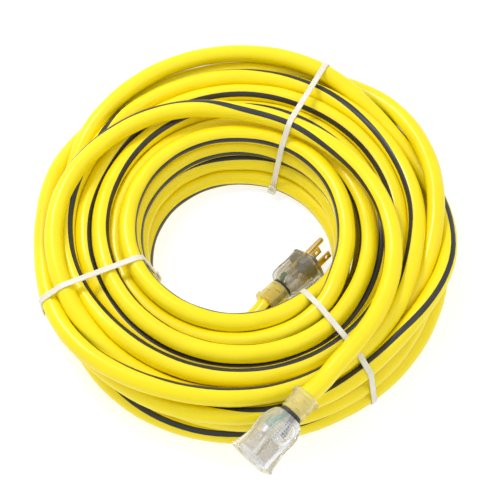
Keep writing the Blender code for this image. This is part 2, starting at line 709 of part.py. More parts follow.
LAMP = make_material("lamp_glass", (0.95, 0.75, 0.60), 0.10, transmission=0.6)
RESISTOR = make_material("resistor_body", (0.60, 0.45, 0.30), 0.50)

plug_frame = frame_on(PLUG_FACE, PLUG_AXIS, PLUG_ROLL)
connector_face = CONNECTOR_REAR + CONNECTOR_AXIS * CONNECTOR_LENGTH
connector_frame = frame_on(connector_face, CONNECTOR_AXIS, CONNECTOR_ROLL)

for side, frame, make, route in (
    ("connector", connector_frame, make_connector, CONNECTOR_TAIL_ROUTE),
    ("plug", plug_frame, make_plug, PLUG_TAIL_ROUTE),
):
    relief_start, jacket_end = make(frame)
    axis = frame.to_3x3() @ Vector((0, 0, 1))
    relief_end = frame @ Vector((0, 0, relief_start - GAP))
    jacket = frame @ Vector((0, 0, jacket_end))
    tube_part(f"{side}_tail", tail_points(route, relief_end, jacket, axis), CORD_RADIUS, JACKET)

tie_frames = []
for number, (degrees, crossing) in enumerate(TIES, 1):
    turn = Matrix.Rotation(math.radians(degrees), 4, "Z")
    tie_frames.append(Matrix.Translation(COIL_CENTRE) @ turn)
    make_tie(f"cable_tie_{number}", tie_frames[-1], crossing, NYLON)

clearance_box = box_mesh("clearance", CLEARANCE_BOX, (0, 0, -CONNECTOR_LENGTH / 2 + 0.004))
clearance = as_cutter(add_object("connector_clearance_cutter", clearance_box, None, connector_frame))
make_coil(JACKET, tie_frames, clearance)
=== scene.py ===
"""Coiled heavy-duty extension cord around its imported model: the wound cord with its stripe, three
cable ties, the clear shells and sleeves of the plug and the connector, and the finishes. Metres,
+Z up, as in the model."""
import json
import math

import bmesh
import bpy
import numpy as np
from mathutils import Matrix, Vector

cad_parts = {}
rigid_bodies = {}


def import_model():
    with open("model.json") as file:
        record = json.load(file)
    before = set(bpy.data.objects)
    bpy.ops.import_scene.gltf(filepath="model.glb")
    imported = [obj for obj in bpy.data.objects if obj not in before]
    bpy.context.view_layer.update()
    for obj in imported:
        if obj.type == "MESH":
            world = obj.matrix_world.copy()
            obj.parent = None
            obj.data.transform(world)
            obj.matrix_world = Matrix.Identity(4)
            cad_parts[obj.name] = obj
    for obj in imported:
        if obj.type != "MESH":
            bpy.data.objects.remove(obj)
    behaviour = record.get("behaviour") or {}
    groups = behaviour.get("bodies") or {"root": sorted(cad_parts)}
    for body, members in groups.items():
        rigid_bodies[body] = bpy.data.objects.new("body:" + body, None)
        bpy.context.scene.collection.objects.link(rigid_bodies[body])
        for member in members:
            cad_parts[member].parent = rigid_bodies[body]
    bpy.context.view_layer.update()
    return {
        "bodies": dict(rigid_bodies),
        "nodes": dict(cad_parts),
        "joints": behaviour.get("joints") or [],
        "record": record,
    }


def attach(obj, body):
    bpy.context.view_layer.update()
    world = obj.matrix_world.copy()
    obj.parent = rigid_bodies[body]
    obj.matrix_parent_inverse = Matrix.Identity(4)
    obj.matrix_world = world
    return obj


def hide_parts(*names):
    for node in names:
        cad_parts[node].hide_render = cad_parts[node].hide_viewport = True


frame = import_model()

# Cord and winding: turns that touch lie SPACING apart, a layer rests in the hollows of the one
# below, and START is the angle, in degrees round the coil, where the winding leaves the connector.
# Each turn settles at STATIONS points, and is drawn with FINER times as many.
DIAMETER = 0.0152
RADIUS = DIAMETER / 2
SPACING = 0.0154
LAYER = SPACING * math.sin(math.radians(60))
CENTRE = np.array([0.0, 0.0210, 0.0])
START = 287.0
TURNS = 19
STATIONS = 60
FINER = 2

# Plug and connector frames, as in the model
PLUG_FACE = Vector((0.0560, 0.0002, 0.0166))
PLUG_AXIS = Vector((0.68, 0.73, 0.0)).normalized()
PLUG_ROLL = math.radians(33)
PLUG_LENGTH = 0.0330
CONNECTOR_REAR = Vector((0.0345, -0.1548, 0.0650))
CONNECTOR_AXIS = Vector((-0.668, -0.744, -0.10)).normalized()
CONNECTOR_ROLL = math.radians(-62)
CONNECTOR_LENGTH = 0.0430
RELIEF_LENGTH = 0.0215
JACKET_END = 0.0024
GAP = 0.0003

# The winding's plan, followed along the cord from the connector: the angle round the coil in
# degrees, the distance from its middle in millimetres, and the layer, 0 on the floor. The turns
# that show are laid one by one, and the ones under them by the loops of lower_turns.
TOP_TURNS = [
    (287, 167, 4.53), (293, 158.3, 4.29), (299.3, 150.7, 4.38), (306.3, 145.4, 4.39),
    (315, 140, 4.27), (325, 135.6, 4.21), (334, 130.4, 4.2), (343.5, 126.6, 4.2),
    (353, 122.2, 4.2), (373, 109.8, 4.2), (393.6, 99.3, 4.2), (415.5, 93, 4.2), (438.5, 94, 4.2),
    (450, 96, 4.2), (461, 100.1, 4.2), (472.6, 108.3, 4.2), (483.5, 118.8, 4.1), (494, 126.8, 4.0),
    (504.7, 134.8, 3.8), (515, 141.2, 3.6), (525, 146.5, 3.5), (535, 151, 3.45), (545, 153.5, 3.4),
    (570, 154, 3.2), (590, 154, 2.9), (610, 151, 2.4), (640, 147, 2.1), (670, 145, 2.1),
    (690, 146, 2.6), (700, 150, 3.0), (715, 158, 3.1), (735, 167, 3.1), (750, 170, 3),
    (765, 169, 2.6), (785, 163, 2.2), (820, 160, 2.1), (850, 158, 1.9), (863, 159, 1.95),
    (875, 161, 2.1), (887, 162, 2.3), (896, 163, 2.5), (908, 164, 2.7), (920, 165.5, 2.9),
    (929, 169, 3.1), (940, 168.5, 3.3), (955, 165, 3.5), (975, 157, 3.5), (990, 155, 3.3),
    (1010, 153, 3.0), (1030, 149, 2.8), (1060, 143, 2.8), (1080, 142, 3), (1110, 144, 3),
    (1140, 144, 3), (1165, 144, 3), (1185, 145, 2.8), (1210, 147, 2.6), (1240, 149, 2.8),
    (1265, 149, 3), (1300, 146, 3), (1335, 139.8, 3), (1360, 136.8, 3), (1385, 134.5, 2.9),
    (1420, 131, 2.7), (1450, 128, 2.8), (1480, 127, 3), (1510, 128, 3), (1540, 131, 2.8),
    (1570, 133, 2.6), (1600, 133.5, 2.9), (1640, 131.5, 2.9), (1680, 127, 2.5), (1710, 124, 2.3),
    (1750, 121, 2.4), (1770, 120, 2.5), (1800, 117, 2.6), (1840, 113, 2.7), (1880, 113, 2.6),
    (1920, 117, 2.6), (1960, 120.5, 2.9), (2000, 120.5, 3), (2050, 118, 3), (2090, 115.5, 3),
    (2130, 110.5, 3), (2160, 106, 2.9), (2190, 101, 2.6), (2250, 99, 2.4), (2300, 103, 2.4),
    (2360, 104.5, 2.5), (2410, 102, 2.6), (2450, 97.5, 2.9), (2490, 90, 3), (2520, 84, 3),
    (2550, 83, 3), (2610, 84, 3), (2660, 92, 3), (2720, 96.5, 3), (2770, 94, 3), (2810, 91, 3),
    (2850, 88, 2.8), (2890, 85, 2.2), (2950, 80, 2), (3020, 84, 2), (3060, 91, 2), (3090, 94, 2),
    (3168, 96, 1.8),
]

# The turn along the outer edge, between the second layer and the floor layer
RISE_TO_EDGE = [
    (288, 162, 2.5), (300, 157, 2.6), (311, 153, 2.8), (320, 153, 3), (330, 158, 3), (340, 164, 3),
    (350, 167.5, 2.9), (360, 168, 2.6), (372, 165, 2.1), (385, 161, 2.0), (400, 162, 2.4),
    (420, 166, 3), (440, 169.5, 3.1), (470, 170, 3.1), (482, 167.5, 3.1), (492, 162, 3.1),
    (500, 157, 3.0), (508, 153, 2.8), (516, 151, 2.5), (530, 151, 2.1), (550, 154, 1.7),
    (570, 158, 1.4), (590, 162, 1.1), (610, 165, 0.9),
]

# The innermost turn, on the floor
LAST_TURN = [
    (20, 98, 0), (60, 85, 0), (100, 75, 0), (130, 69.5, 0), (162, 67.2, 0), (200, 71, 0),
    (252, 83, 0), (285, 91, 0), (310, 93, 0),
]

# The way up to the plug: the angle past the last full turn, and the distance from the middle and
# the height of the cord's own middle in millimetres. It takes over from the plan at PLUG_WAY.
PLUG_WAY = 245
TO_PLUG = [
    (252.8, 88.0, 8.2), (261.2, 84.5, 9.2), (269.3, 79.1, 11.9), (278, 72, 14.7),
    (287.1, 63.7, 16.6),
]

# The turns under the ones that show start here, down the coil's inner wall
FIRST_LOWER_TURN = 3168
INNER_WALL = [
    (3205, 90, 1.3), (3240, 83, 1.1), (3330, 74, 1.0), (3420, 87, 1.0), (3490, 94, 1.0),
    (3530, 97, 1.0),
]

# The second layer's distances, and how far each of its turns drifts outwards either way of them
SECOND_LAYER = (108, 126, 142)
SECOND_DRIFT = 3
SECOND_HEIGHT = 1.1

# The turn that bulges out at the front
FRONT_BULGE = [
    (4528, 152, 1.1), (4560, 162, 1.1), (4590, 167, 1.1), (4630, 166, 1.1), (4690, 158, 1.1),
    (4860, 158, 1.1), (4900, 164, 1.7), (4930, 166.5, 2.2), (4950, 166, 2.4),
]

# The floor layer's distances, and how far inwards each of its turns drifts
FLOOR_LAYER = (169, 152, 134, 115)
FLOOR_DRIFT = 7
FLOOR_HEIGHT = 0.05

# Where the stripe is on the cord, in degrees round it, at angles along the winding: 0 faces away
# from the coil's middle, 90 faces up and 180 faces the middle. The cord twists as it is wound, so
# the values run on past a full turn.
STRIPE = [
    (280, 200), (330, 185), (360, 170), (400, 152), (420, 119), (450, 110), (460, 84), (470, 52),
    (480, 50), (492, 50), (504, 46), (514, 38), (524, 18), (545, -35), (565, -75), (585, -150),
    (597, -195), (615, -215), (640, -200), (700, -150), (780, -110), (900, -150), (960, -215),
    (975, -228), (1010, -226), (1040, -214), (1080, -221), (1100, -225), (1120, -245),
    (1140, -279), (1168, -311), (1182, -345), (1205, -352), (1235, -250), (1245, -242),
    (1280, -225), (1320, -230), (1380, -245), (1460, -221), (1500, -211), (1530, -228),
    (1580, -222), (1600, -211), (1635, -236), (1665, -260), (1690, -264), (1740, -280),
    (1800, -262), (1849, -245), (1890, -270), (1910, -255), (1960, -215), (2040, -205),
    (2130, -198), (2250, -192), (2400, -190), (2520, -200), (2600, -196), (2690, -188),
    (2720, -194), (2745, -205), (2790, -213), (2815, -209), (2850, -182), (2880, -165),
    (2910, -158), (2935, -162), (2960, -180), (3000, -190), (3168, -210), (3230, -275),
    (3300, -275), (3345, -262), (3420, -300), (3600, -380), (4300, -520), (4700, -575),
    (4860, -570), (4925, -562), (4938, -572), (4948, -606), (4955, -634), (4985, -608),
    (5000, -619), (5010, -654), (5030, -661), (5040, -652), (5080, -690), (5110, -720),
    (5150, -790), (5200, -880), (5235, -950), (5258, -960), (5280, -1000), (5300, -1015),
    (5335, -988), (5365, -964), (5420, -945), (5700, -940), (5960, -950), (6200, -920),
    (6500, -920), (6800, -877), (6930, -879), (6960, -897), (6990, -910), (7015, -916),
    (7045, -930), (7090, -1040), (7130, -1045),
]


def lower_turns():
    """The plan under the turns that show: out over the second layer, up to the rim, back in
    over the floor layer."""
    rows = list(INNER_WALL)
    at = FIRST_LOWER_TURN
    for radius in SECOND_LAYER:
        at += 360
        rows += [(at + 40, radius - SECOND_DRIFT, SECOND_HEIGHT),
                 (at + 280, radius + SECOND_DRIFT, SECOND_HEIGHT)]
    rows += FRONT_BULGE
    at += 720
    first = RISE_TO_EDGE[0][0]
    rows += [(at + angle - first, radius, layer) for angle, radius, layer in RISE_TO_EDGE]
    at += 360
    for radius in FLOOR_LAYER:
        rows += [(at + 20, radius, FLOOR_HEIGHT), (at + 300, radius - FLOOR_DRIFT, FLOOR_HEIGHT)]
        at += 360
    return rows + [(at + angle, radius, layer) for angle, radius, layer in LAST_TURN]


def winding_plan():
    """Angle, distance from the middle and height of each station, before anything is pushed."""
    angles = START + np.arange(TURNS * STATIONS + 1) * 360 / STATIONS
    last = 360 * TURNS
    rows = [row for row in TOP_TURNS + lower_turns() if row[0] < last + PLUG_WAY]
    rows += [(last + a, r, (z / 1000 - RADIUS) / LAYER) for a, r, z in TO_PLUG]
    known = np.array(rows)
    distance = np.interp(angles, known[:, 0], known[:, 1]) / 1000
    layer = np.interp(angles, known[:, 0], known[:, 2])
    return np.radians(angles), distance, RADIUS + layer * LAYER


# How the turns settle. FALL, LATE_FALL and MOST_PUSH are in metres for each step, and the pulls,
# SMOOTHING and PUSH are shares of what is left to move. LATE_SHARE is the share of the steps after
# which the fall is slower. Places are ranges in degrees along the winding, and the stations fixed
# at each end are counted.
RELAX_STEPS = 900
LATE_SHARE = 0.8
FALL = 0.00012
LATE_FALL = 0.00004
HELD_HEIGHTS = ((0, FIRST_LOWER_TURN), (4890, 5245))
HELD_PULL = 0.03
FIRM_PLACES = ((2480, 3560), (6780, math.inf))
FIRM_PULL = 0.15
LOOSE_PULL = 0.025
SMOOTHING = 0.5
STRAIGHTENING, EVENING = 0.3, 0.7
PUSH = 0.7
MOST_PUSH = 0.002
FIXED_AT_START, FIXED_AT_END = 4, 7


def within(values, ranges):
    """Whether each value is inside one of the ranges."""
    return np.any([(values > low) & (values < high) for low, high in ranges], axis=0)


def bending(values):
    """The move of each value that makes the line straighter and its bend more even."""
    sag = np.zeros_like(values)
    sag[1:-1] = (values[:-2] + values[2:]) / 2 - values[1:-1]
    change = np.zeros_like(values)
    change[1:-1] = sag[1:-1] - (sag[:-2] + sag[2:]) / 2
    return STRAIGHTENING * sag + EVENING * change


def relax(angles, planned, heights):
    """Settles the turns on each other: each station keeps near its plan, stays smooth, is pushed
    off the turns that it touches, and falls unless its height is held."""
    distance, height = planned.copy(), heights.copy()
    along = np.stack([np.cos(angles), np.sin(angles)])
    free = np.ones(len(angles))
    free[:FIXED_AT_START] = 0
    free[-FIXED_AT_END:] = 0
    turned = np.degrees(angles)
    held = within(turned, HELD_HEIGHTS).astype(float)
    pull = np.where(within(turned, FIRM_PLACES), FIRM_PULL, LOOSE_PULL)
    for step in range(RELAX_STEPS):
        fall = LATE_FALL if step > LATE_SHARE * RELAX_STEPS else FALL
        distance += free * pull * (planned - distance)
        height -= free * fall * (1 - held)
        height += free * HELD_PULL * held * (heights - height)
        distance += free * SMOOTHING * bending(distance)
        height += free * SMOOTHING * bending(height)
        points = np.stack([distance * along[0], distance * along[1], height], 1)
        forward = np.gradient(points, axis=0)
        forward /= np.linalg.norm(forward, axis=1)[:, None]
        outward, upward = np.zeros(len(angles)), np.zeros(len(angles))
        for turn in range(1, TURNS + 1):
            shift = turn * STATIONS
            if shift >= len(angles):
                break
            between = points[:-shift] - points[shift:]
            between -= (between * forward[shift:]).sum(1)[:, None] * forward[shift:]
            apart = np.linalg.norm(between, axis=1)
            push = np.maximum(SPACING - apart, 0) * 0.5 / np.maximum(apart, 1e-6)
            out = push * (between[:, 0] * along[0][:-shift] + between[:, 1] * along[1][:-shift])
            outward[:-shift] += out
            outward[shift:] -= out
            upward[:-shift] += push * between[:, 2]
            upward[shift:] -= push * between[:, 2]
        distance += free * np.clip(outward, -MOST_PUSH, MOST_PUSH) * PUSH
        height += free * np.clip(upward, -MOST_PUSH, MOST_PUSH) * PUSH
        height = np.where(free > 0, np.maximum(height, RADIUS), height)
    return distance, height


def finer(values, times):
    """The values with more between them, on a Catmull-Rom curve."""
    padded = np.concatenate([[2 * values[0] - values[1]], values, [2 * values[-1] - values[-2]]])
    a, b, c, d = padded[:-3], padded[1:-2], padded[2:-1], padded[3:]
    rows = []
    for step in range(times):
        t = step / times
        rows.append(0.5 * (2 * b + (c - a) * t + (2 * a - 5 * b + 4 * c - d) * t * t
                           + (3 * b - a - 3 * c + d) * t ** 3))
    return np.append(np.stack(rows, 1).ravel(), values[-1])


angles, distance, height = winding_plan()
distance, height = relax(angles, distance, height)
angles, distance, height = (finer(values, FINER) for values in (angles, distance, height))
wound = np.stack([distance * np.cos(angles), distance * np.sin(angles), height], 1) + CENTRE

# The cord's whole path: out of the connector's body, through the winding, and into the plug's body.
# PATH_ANGLE is each point's angle along the winding.
connector_end = CONNECTOR_REAR - CONNECTOR_AXIS * JACKET_END
connector_exit = CONNECTOR_REAR - CONNECTOR_AXIS * (GAP + RELIEF_LENGTH)
plug_end = PLUG_FACE - PLUG_AXIS * (PLUG_LENGTH + JACKET_END)
head = [connector_end.lerp(connector_exit, t) for t in (0, 0.33, 0.66)]
plug_exit = PLUG_FACE - PLUG_AXIS * (PLUG_LENGTH + GAP + RELIEF_LENGTH)
tail = [plug_exit.lerp(plug_end, t) for t in (0.34, 0.67, 1)]
CORD_PATH = np.concatenate([np.array(head), wound, np.array(tail)])
spare = np.degrees(angles[0]) - np.array([6, 4, 2])
PATH_ANGLE = np.concatenate([spare, np.degrees(angles), np.degrees(angles[-1]) + [1, 2, 3]])


# Helpers for meshes and materials
def new_object(name, mesh, *materials):
    obj = bpy.data.objects.new(name, mesh)
    bpy.context.scene.collection.objects.link(obj)
    for material in materials:
        mesh.materials.append(material)
    return obj


def from_faces(name, points, faces, *materials):
    mesh = bpy.data.meshes.new(name)
    mesh.from_pydata([tuple(p) for p in points], [], [tuple(f) for f in faces])
    mesh.update()
    mesh.shade_smooth()
    return new_object(name, mesh, *materials)


def face_outwards(mesh):
    shape = bmesh.new()
    shape.from_mesh(mesh)
    bmesh.ops.recalc_face_normals(shape, faces=shape.faces)
    shape.to_mesh(mesh)
    shape.free()


def skin(rows, columns):
    """Quads between rows of points, each row closed on itself."""
    return [(i * columns + k, i * columns + (k + 1) % columns, (i + 1) * columns + (k + 1) % columns,
             (i + 1) * columns + k) for i in range(rows - 1) for k in range(columns)]


def node(tree, kind, inputs=(), **settings):
    """A shader node, with its settings, and its inputs set to constants or linked to sockets."""
    made = tree.nodes.new(kind)
    for key, value in settings.items():
        setattr(made, key, value)
    for key, value in dict(inputs).items():
        if isinstance(value, bpy.types.NodeSocket):
            tree.links.new(value, made.inputs[key])
        else:
            made.inputs[key].default_value = value
    return made


ROUGHNESS_SPREAD = 0.06
GRAIN_DEPTH = 0.0002


def finish(name, colour, other, roughness, bump=0.1, grain=900.0, patch=35.0, stretch=(1, 1, 1),
           **sockets):
    """A procedural finish: two shades mixed in soft patches, fine grain in the bump, and uneven
    roughness. The sockets are the shader's own constants."""
    material = bpy.data.materials.new(name)
    material.use_nodes = True
    tree = material.node_tree
    shader = tree.nodes["Principled BSDF"]
    place = node(tree, "ShaderNodeTexCoord").outputs["Object"]
    place = node(tree, "ShaderNodeMapping", {"Vector": place, "Scale": stretch}).outputs["Vector"]
    patches = node(tree, "ShaderNodeTexNoise", {"Vector": place, "Scale": patch, "Detail": 3.0})
    grains = node(tree, "ShaderNodeTexNoise", {"Vector": place, "Scale": grain, "Detail": 4.0,
                                               "Roughness": 0.6})
    shade = node(tree, "ShaderNodeMix", data_type="RGBA")
    ramp = node(tree, "ShaderNodeMapRange", {"Value": patches.outputs["Fac"], "From Min": 0.35,
                                             "From Max": 0.65})
    tree.links.new(ramp.outputs["Result"], shade.inputs["Factor"])
    shade.inputs["A"].default_value = (*colour, 1)
    shade.inputs["B"].default_value = (*other, 1)
    tree.links.new(shade.outputs["Result"], shader.inputs["Base Color"])
    uneven = node(tree, "ShaderNodeMapRange", {
        "Value": grains.outputs["Fac"], "To Min": roughness - ROUGHNESS_SPREAD,
        "To Max": roughness + ROUGHNESS_SPREAD})
    tree.links.new(uneven.outputs["Result"], shader.inputs["Roughness"])
    relief = node(tree, "ShaderNodeBump", {
        "Height": grains.outputs["Fac"], "Strength": bump, "Distance": GRAIN_DEPTH})
    tree.links.new(relief.outputs["Normal"], shader.inputs["Normal"])
    for key, value in sockets.items():
        shader.inputs[key.replace("_", " ")].default_value = value
    return material


YELLOW = finish("yellow_jacket", (0.925, 0.765, 0.004), (0.89, 0.72, 0.003), 0.36, 0.10, 1400.0,
                22.0, Specular_IOR_Level=0.30, Coat_Weight=0.22, Coat_Roughness=0.13)
BLACK = finish("black_stripe", (0.018, 0.018, 0.022), (0.030, 0.030, 0.033), 0.36, 0.12, 1400.0,
               30.0, Specular_IOR_Level=0.5)
NYLON = finish("natural_nylon", (0.80, 0.78, 0.66), (0.87, 0.85, 0.74), 0.38, 0.08, 700.0, 60.0,
               Subsurface_Weight=0.35, Subsurface_Scale=0.002, Transmission_Weight=0.12)
FROSTED = finish("clear_frosted_vinyl", (0.985, 0.985, 0.98), (1.0, 1.0, 1.0), 0.24, 0.06, 500.0,
                 50.0, Transmission_Weight=0.83, IOR=1.26)
# The grip's lines and rim take this greyer, less clear finish: painted shade that shows the ridges
# and the rim.
GRIP_PAINTED_SHADE = finish("grip_painted_shade", (0.90, 0.90, 0.90), (0.96, 0.96, 0.96), 0.30, 0.06, 500.0,
                      50.0, Transmission_Weight=0.55, IOR=1.30)
FROSTED_SLEEVE = finish("frosted_sleeve", (0.96, 0.90, 0.52), (0.98, 0.94, 0.66), 0.30, 0.06, 500.0,
                        50.0, Transmission_Weight=0.74, IOR=1.14)
# The plug's sleeve is darker and browner than the connector's: painted shade, as on the plug's
# shell.
SHADED_SLEEVE = finish("sleeve_painted_shade", (0.86, 0.77, 0.30), (0.90, 0.82, 0.40), 0.30, 0.06, 500.0,
                      50.0, Transmission_Weight=0.74, IOR=1.12)
# The plug's clear vinyl takes a grey-brown tint: painted shade, for the plug lying in shadow.
SHADED_VINYL = finish("clear_smoky_vinyl", (0.70, 0.67, 0.58), (0.82, 0.79, 0.70), 0.20, 0.10, 500.0,
               60.0, Transmission_Weight=0.92, IOR=1.40)
CARRIER = finish("white_carrier", (0.98, 0.98, 0.97), (1.0, 1.0, 0.99), 0.26, 0.08, 600.0,
                 Transmission_Weight=0.88, IOR=1.12)
BRIDGE = finish("grey_bridge", (0.30, 0.29, 0.26), (0.38, 0.37, 0.33), 0.45, 0.10, 600.0)
BRASS = finish("brass", (0.80, 0.62, 0.30), (0.66, 0.50, 0.23), 0.22, 0.06, 500.0, 120.0,
               (1, 1, 0.1), Metallic=1.0)
TIN = finish("tinned_barrel", (0.72, 0.71, 0.69), (0.60, 0.59, 0.57), 0.32, 0.08, 600.0, 90.0,
             Metallic=1.0)
COPPER = finish("bare_copper", (0.80, 0.36, 0.18), (0.62, 0.26, 0.12), 0.34, 0.15, 900.0, 90.0,
                (1, 1, 0.05), Metallic=1.0)
BLACK_WIRE = finish("black_insulation", (0.02, 0.02, 0.02), (0.04, 0.04, 0.04), 0.4)
WHITE_WIRE = finish("white_insulation", (0.80, 0.80, 0.76), (0.86, 0.86, 0.83), 0.4)
GREEN_WIRE = finish("green_insulation", (0.03, 0.25, 0.09), (0.05, 0.33, 0.12), 0.4)
LAMP = finish("lamp_glass", (0.95, 0.80, 0.66), (0.98, 0.86, 0.76), 0.12, 0.02, 400.0,
              Transmission_Weight=0.85, IOR=1.45)
RESISTOR = finish("resistor_body", (0.55, 0.43, 0.26), (0.62, 0.50, 0.32), 0.5)


def axes_across(line):
    """The unit vectors across a line: away from the coil's middle, and up."""
    forward = np.gradient(line, axis=0)
    forward /= np.linalg.norm(forward, axis=1)[:, None]
    away = line - CENTRE
    away[:, 2] = 0
    away -= (away * forward).sum(1)[:, None] * forward
    away /= np.linalg.norm(away, axis=1)[:, None]
    up = np.cross(away, forward)
    up *= np.sign(up[:, 2])[:, None]
    return away, up


def tube(name, line, section, reach, *materials):
    """A closed tube along the line. section holds the angles round it for each point, and reach
    the distance from the line for each of them."""
    away, up = axes_across(line)
    count, around = section.shape
    points = (line[:, None, :]
              + reach[..., None] * (np.cos(section)[..., None] * away[:, None, :]
                                    + np.sin(section)[..., None] * up[:, None, :]))
    faces = skin(count, around)
    faces.append(tuple(range(around))[::-1])
    faces.append(tuple(range((count - 1) * around, count * around)))
    obj = from_faces(name, points.reshape(-1, 3), faces, *materials)
    face_outwards(obj.data)
    return obj


# The cord's jacket: a stripe of its own faces, and the lobes of the three conductors under it,
# which twist once in LOBE_LAY. WAVERS are slow swellings along it, each with its size, its radians
# for each metre, and its phase at the start.
STRIPE_HALF = math.radians(18.5)
STRIPE_FACES = 4
STRIPE_SMOOTHING = 6
JACKET_FACES = 26
JACKET_RADIUS = RADIUS - 0.00006
CONDUCTORS = 3
LOBE_HEIGHT = 0.00010
LOBE_LAY = 0.11
WAVERS = ((0.00004, 41.0, 0.0), (0.00003, 97.0, 1.0))


def make_cord():
    known = np.array(STRIPE, float)
    stripe = np.radians(np.interp(PATH_ANGLE, known[:, 0], known[:, 1]))
    for _ in range(STRIPE_SMOOTHING):
        stripe[1:-1] = (stripe[:-2] + 2 * stripe[1:-1] + stripe[2:]) / 4
    black = np.linspace(-STRIPE_HALF, STRIPE_HALF, STRIPE_FACES + 1)
    yellow = np.linspace(STRIPE_HALF, 2 * math.pi - STRIPE_HALF, JACKET_FACES + 1)[1:-1]
    offsets = np.concatenate([black, yellow])
    section = stripe[:, None] + offsets[None, :]
    run = np.append(0, np.cumsum(np.linalg.norm(np.diff(CORD_PATH, axis=0), axis=1)))
    lobes = np.cos(CONDUCTORS * (section - 2 * math.pi * run[:, None] / LOBE_LAY))
    waver = sum(size * np.sin(run * rate + phase) for size, rate, phase in WAVERS)
    reach = JACKET_RADIUS + LOBE_HEIGHT * lobes + waver[:, None]
    cord = tube("wound_cord", CORD_PATH, section, reach, YELLOW, BLACK)
    slots = np.zeros(len(cord.data.polygons), np.int32)
    rings = np.arange(len(CORD_PATH) - 1)
    striped = rings[:, None] * len(offsets) + np.arange(STRIPE_FACES)[None, :]
    slots[striped.ravel()] = 1
    cord.data.polygons.foreach_set("material_index", slots)
    return cord


cord = make_cord()


# Cable ties
TIE_WIDTH = 0.0048
TIE_THICKNESS = 0.0013
TIE_LIFT = 0.0001 + TIE_THICKNESS / 2
TIE_EDGE = 0.45 * TIE_THICKNESS / 2
TIE_STEP = 0.0018
TIE_SAMPLES = 48
TIE_HEAD = (0.0070, 0.0062, 0.0046)
TIE_END = (TIE_WIDTH, 0.0060, TIE_THICKNESS)
TIE_TOOTH = (TIE_WIDTH * 0.62, 0.0005, 0.0003)
TIE_TEETH = 4
TOOTH_PITCH = 0.0011
HEAD_AT = (0, 0, 0.0017)
END_AT = (0, 0.0055, 0.0026)
FIRST_TOOTH_AT = (0, 0.0042, 0.0034)

# A head is on its strap's inner run: within HEAD_REACH of the point nearest the coil's middle, and
# between the two HEAD_HEIGHTS.
HEAD_REACH = 0.03
HEAD_HEIGHTS = (0.004, 0.045)

# For each tie, the angle round the coil in degrees, how many turns next to the connector it leaves
# out, and the height of its head
TIES = [(64.5, 0, 0.007), (204.5, 0, 0.009), (306.5, 1, 0.026)]


def convex_outline(points):
    """The points of the convex hull, anticlockwise."""
    ordered = sorted(set(map(tuple, points)))

    def half(candidates):
        chain = []
        for p in candidates:
            while len(chain) > 1:
                (ax, ay), (bx, by) = chain[-2], chain[-1]
                if (bx - ax) * (p[1] - ay) - (by - ay) * (p[0] - ax) > 0:
                    break
                chain.pop()
            chain.append(p)
        return chain[:-1]

    return half(ordered) + half(ordered[::-1])


def even_loop(outline, step):
    """Points about a step apart along a closed outline."""
    loop = np.array([*outline, outline[0]])
    run = np.append(0, np.cumsum(np.linalg.norm(np.diff(loop, axis=0), axis=1)))
    at = np.linspace(0, run[-1], int(run[-1] / step) + 1)[:-1]
    return np.stack([np.interp(at, run, loop[:, k]) for k in range(2)], 1)


def tie_section(degrees, first_turn):
    """The strap's centre line round the turns that cross the tie's plane: (outward, up)."""
    samples = []
    wrapped = (degrees - math.degrees(angles[0])) % 360 + math.degrees(angles[0])
    for turn in range(first_turn, TURNS + 1):
        at = math.radians(wrapped + 360 * turn)
        if at > angles[-1]:
            break
        r, z = np.interp(at, angles, distance), np.interp(at, angles, height)
        reach = RADIUS + TIE_LIFT
        for k in range(TIE_SAMPLES):
            a = 2 * math.pi * k / TIE_SAMPLES
            samples.append((r + reach * math.cos(a), max(z + reach * math.sin(a), TIE_LIFT)))
    return even_loop(convex_outline(samples), TIE_STEP)


def block(shape, frame, size, centre, bevel):
    """A bevelled block in the mesh, in the frame."""
    made = bmesh.ops.create_cube(shape, size=1.0)["verts"]
    bmesh.ops.scale(shape, vec=size, verts=made)
    bmesh.ops.translate(shape, vec=centre, verts=made)
    edges = list({e for v in made for e in v.link_edges})
    result = bmesh.ops.bevel(shape, geom=edges, offset=bevel, segments=2, affect="EDGES")
    verts = list({v for f in result["faces"] for v in f.verts} | {v for v in made if v.is_valid})
    bmesh.ops.transform(shape, matrix=frame, verts=verts)


def strap_section():
    """The strap's section, (across, outwards), with a low rib along each side of its outer face."""
    half_w, half_t = TIE_WIDTH / 2, TIE_THICKNESS / 2
    edge_w, edge_t = half_w - TIE_EDGE, half_t - TIE_EDGE
    return [(-half_w + TIE_EDGE, half_t), (-half_w * 0.55, half_t * 1.05), (-half_w * 0.45, half_t),
            (half_w * 0.45, half_t), (half_w * 0.55, half_t * 1.05), (edge_w, half_t),
            (half_w, edge_t), (half_w, -half_t + TIE_EDGE), (edge_w, -half_t),
            (-half_w + TIE_EDGE, -half_t), (-half_w, -half_t + TIE_EDGE), (-half_w, edge_t)]


